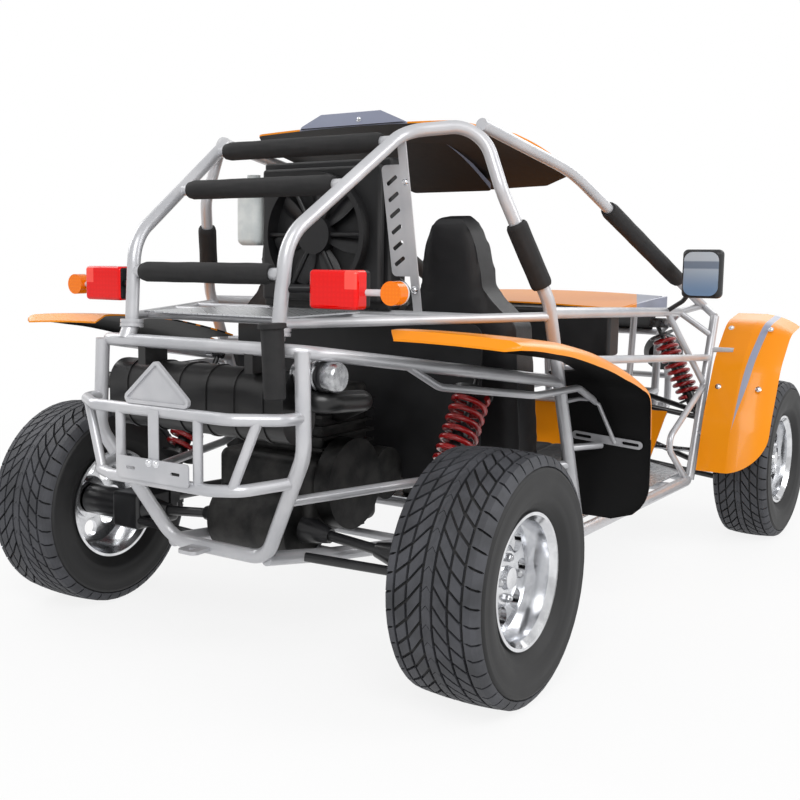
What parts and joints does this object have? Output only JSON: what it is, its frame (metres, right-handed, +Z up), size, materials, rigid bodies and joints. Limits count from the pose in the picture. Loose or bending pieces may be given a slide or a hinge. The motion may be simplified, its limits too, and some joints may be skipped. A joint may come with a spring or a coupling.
{
  "type": "dune buggy",
  "caption": "Open two-seat off-road buggy with a bent-tube frame and roll cage, moulded fenders, coil-over suspension and steered front wheels.",
  "frame": {"origin": "on the ground under the middle of the whole vehicle", "axes": "+Y forward, +X to the vehicle's right, +Z up"},
  "size_m": [1.716, 2.965, 1.4805],
  "materials": {
    "frame_paint": "silver-grey gloss paint",
    "foam": "black foam sleeve",
    "orange_body": "orange moulded panel, grey band",
    "black_plastic": "black moulded plastic",
    "tread_plate": "bright tread plate",
    "seat_vinyl": "black vinyl",
    "engine_metal": "dark cast metal",
    "exhaust_black": "black heat paint",
    "lamp_red": "red lens",
    "lamp_amber": "amber lens",
    "lamp_clear": "bright reflector",
    "bottle_white": "translucent tank",
    "arm_black": "black gloss paint",
    "spring_red": "red coil spring",
    "alloy": "polished alloy",
    "tyre": "tyre rubber",
    "steel": "bare steel"
  },
  "bodies": {
    "chassis": {"roll_cage": "frame_paint", "rear_frame": "frame_paint", "floor_frame": "frame_paint", "side_frames": "frame_paint", "front_frame": "frame_paint", "rear_bumper": "frame_paint", "front_bumper": "frame_paint", "plate_bracket": "frame_paint", "tow_bracket": "frame_paint", "cage_pads": "foam", "roof_panel": "orange_body", "hood": "orange_body", "rear_fenders": "orange_body", "front_fenders": "orange_body", "fender_brackets": "frame_paint", "dash": "black_plastic", "floor_pan": "tread_plate", "toe_board": "orange_body", "seat_left": "seat_vinyl", "seat_right": "seat_vinyl", "seat_runners": "arm_black", "engine": "engine_metal", "exhaust": "exhaust_black", "radiator": "black_plastic", "radiator_side_plate": "tread_plate", "expansion_bottle": "bottle_white", "rack_shelf": "tread_plate", "tail_lamps": "lamp_red", "turn_signals": "lamp_amber", "headlamps": "lamp_clear", "mirrors": "black_plastic", "rear_arms": "arm_black", "drive_shafts": "arm_black", "front_arms": "arm_black", "dampers": "arm_black", "coil_springs": "spring_red", "shock_pins": "steel", "steering_column": "arm_black", "controls": "arm_black"},
    "knuckle_left": {"knuckle_left": "arm_black"},
    "knuckle_right": {"knuckle_right": "arm_black"},
    "rack_and_ties": {"steering_rack": "steel"},
    "steering_wheel": {"steering_wheel": "black_plastic"},
    "rear_wheel_left": {"rear_rim_left": "alloy", "rear_tyre_left": "tyre"},
    "rear_wheel_right": {"rear_rim_right": "alloy", "rear_tyre_right": "tyre"},
    "front_wheel_left": {"front_rim_left": "alloy", "front_tyre_left": "tyre"},
    "front_wheel_right": {"front_rim_right": "alloy", "front_tyre_right": "tyre"}
  },
  "joints": [
    {"name": "steer_left", "type": "hinge", "parent": "chassis", "child": "knuckle_left", "pos_m": [-0.694, 1.0625, 0.3], "axis": [0, 0, 1], "range_deg": [-27, 27]},
    {"name": "steer_right", "type": "hinge", "parent": "chassis", "child": "knuckle_right", "pos_m": [0.694, 1.0625, 0.3], "axis": [0, 0, 1], "range_deg": [-27, 27]},
    {"name": "rack_slide", "type": "slide", "parent": "chassis", "child": "rack_and_ties", "axis": [1, 0, 0], "range_m": [-0.0426, 0.0426]},
    {"name": "steering_wheel_turn", "type": "hinge", "parent": "chassis", "child": "steering_wheel", "pos_m": [-0.3, -0.0525, 0.85], "axis": [0, -0.9135, 0.4067], "range_deg": [-243.2, 243.2]},
    {"name": "rear_left_spin", "type": "hinge", "parent": "chassis", "child": "rear_wheel_left", "pos_m": [-0.692, -1.0375, 0.307], "axis": [-1, 0, 0], "continuous": true},
    {"name": "rear_right_spin", "type": "hinge", "parent": "chassis", "child": "rear_wheel_right", "pos_m": [0.692, -1.0375, 0.307], "axis": [-1, 0, 0], "continuous": true},
    {"name": "front_left_spin", "type": "hinge", "parent": "knuckle_left", "child": "front_wheel_left", "pos_m": [-0.754, 1.0625, 0.3], "axis": [-1, 0, 0], "continuous": true},
    {"name": "front_right_spin", "type": "hinge", "parent": "knuckle_right", "child": "front_wheel_right", "pos_m": [0.754, 1.0625, 0.3], "axis": [-1, 0, 0], "continuous": true}
  ],
  "couplings": [
    {"joint": "steer_right", "follows": "steer_left", "ratio": 1},
    {"joint": "rack_slide", "follows": "steer_left", "m_per_rad": 0.09},
    {"joint": "steering_wheel_turn", "follows": "steer_left", "ratio": 9}
  ]
}
